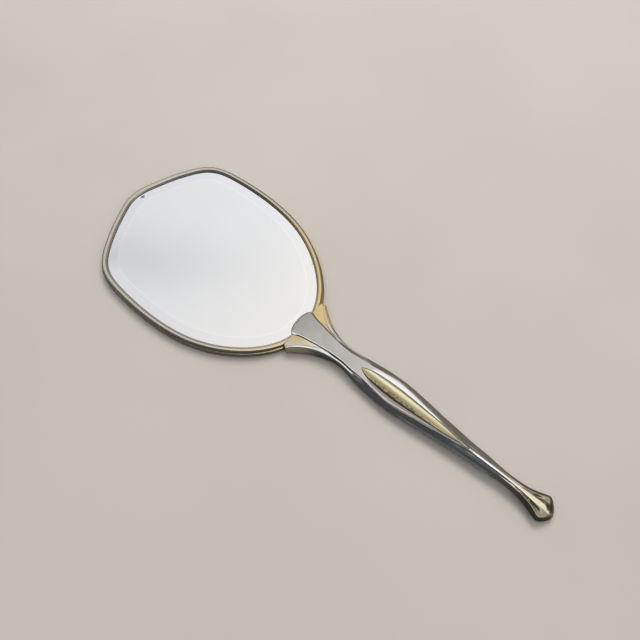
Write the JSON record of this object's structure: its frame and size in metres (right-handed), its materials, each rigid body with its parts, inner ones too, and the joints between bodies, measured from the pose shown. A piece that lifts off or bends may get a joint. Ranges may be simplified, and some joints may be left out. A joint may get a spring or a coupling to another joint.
{
  "type": "hand mirror",
  "caption": "Vanity hand mirror: shield-shaped bevelled glass in a two-part metal frame, on a slim hollow metal handle with gilt inlays and a flared, faceted tip.",
  "frame": {"origin": "centre of the flat field of the back that the mirror rests on", "axes": "+Z out of the glass side, +Y towards the crown of the head, the handle runs to -Y, +X across"},
  "size_m": [0.1248, 0.3497, 0.011],
  "materials": {
    "mirror": "silvered, ground bevel",
    "frame_metal": "silver plated, worn through to warm gilt",
    "back_metal": "satin, fine engraved rays",
    "board": "raw grey board",
    "felt": "felt",
    "handle_metal": "polished silver plate",
    "satin_metal": "satin silver plate",
    "gilt": "soft gilt, worn",
    "tang_steel": "plain",
    "filler": "pitch filler"
  },
  "bodies": {
    "root": {"mirror_glass": "mirror", "bezel_ring": "frame_metal", "back_frame": "frame_metal", "back_plate": "back_metal", "backing_board": "board", "felt_pad": "felt", "handle_front_shell": "handle_metal", "handle_back_shell": "handle_metal", "handle_spine_plate": "satin_metal", "wing_inlay_left": "gilt", "wing_inlay_right": "gilt", "grip_panel": "gilt", "tang_strap": "tang_steel", "cuff_screws": "tang_steel", "handle_filler": "filler"}
  },
  "joints": []
}
